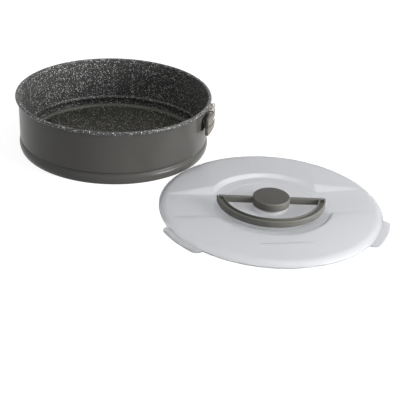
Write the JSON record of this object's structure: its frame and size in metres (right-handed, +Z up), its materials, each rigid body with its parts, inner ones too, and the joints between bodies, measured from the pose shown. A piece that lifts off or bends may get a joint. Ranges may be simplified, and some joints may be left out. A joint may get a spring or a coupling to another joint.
{
  "type": "springform cake tin with lid",
  "caption": "Round springform cake tin with a loose base and a toggle latch, and its frosted carrying lid with a folding handle, taken off and lying beside it.",
  "frame": {"origin": "the tin's axis at the underside of its base plate, on the surface that the tin and the lid stand on", "axes": "+Z up along the tin's axis, +X towards the lid's side, -Y towards the side that the lid lies on"},
  "size_m": [0.4969, 0.4427, 0.0755],
  "materials": {
    "band_coat": "satin dark grey non-stick coat",
    "plate_coat": "dark non-stick coat with light stone-like speckles",
    "latch_steel": "nickel plated",
    "lid_plastic": "frosted translucent polypropylene",
    "handle_plastic": "satin dark grey polypropylene",
    "screw_steel": "zinc plated"
  },
  "bodies": {
    "tin_and_lid": {"side_band": "band_coat", "base_plate": "plate_coat", "hinge_bracket": "latch_steel", "hinge_bracket_rivets": "latch_steel", "lever_pivots": "latch_steel", "catch_bracket": "latch_steel", "catch_bracket_rivets": "latch_steel", "catch_pin": "latch_steel", "lid_shell": "lid_plastic"},
    "latch_lever": {"lever": "latch_steel", "link_pin": "latch_steel"},
    "latch_link": {"link": "latch_steel"},
    "lid_hub": {"hub": "handle_plastic", "hub_washer": "screw_steel", "hub_screw": "screw_steel"},
    "lid_handle": {"handle": "handle_plastic"}
  },
  "joints": [
    {"name": "lever_swing", "type": "hinge", "parent": "tin_and_lid", "child": "latch_lever", "pos_m": [0.13625, -0.01432, 0.0515], "axis": [0, 0, 1], "range_deg": [0, 135]},
    {"name": "link_swing", "type": "hinge", "parent": "latch_lever", "child": "latch_link", "pos_m": [0.1335, -0.0261, 0.0515], "axis": [0, 0, 1], "range_deg": [-135, 0]},
    {"name": "hub_spin", "type": "hinge", "parent": "tin_and_lid", "child": "lid_hub", "pos_m": [0.21522, -0.16755, 0.011], "axis": [0, 0, 1], "continuous": true},
    {"name": "handle_fold", "type": "hinge", "parent": "lid_hub", "child": "lid_handle", "pos_m": [0.21522, -0.16755, 0.011], "axis": [-0.9993, -0.0384, 0], "range_deg": [0, 180]}
  ],
  "couplings": [
    {"joint": "link_swing", "follows": "lever_swing", "ratio": -1}
  ]
}
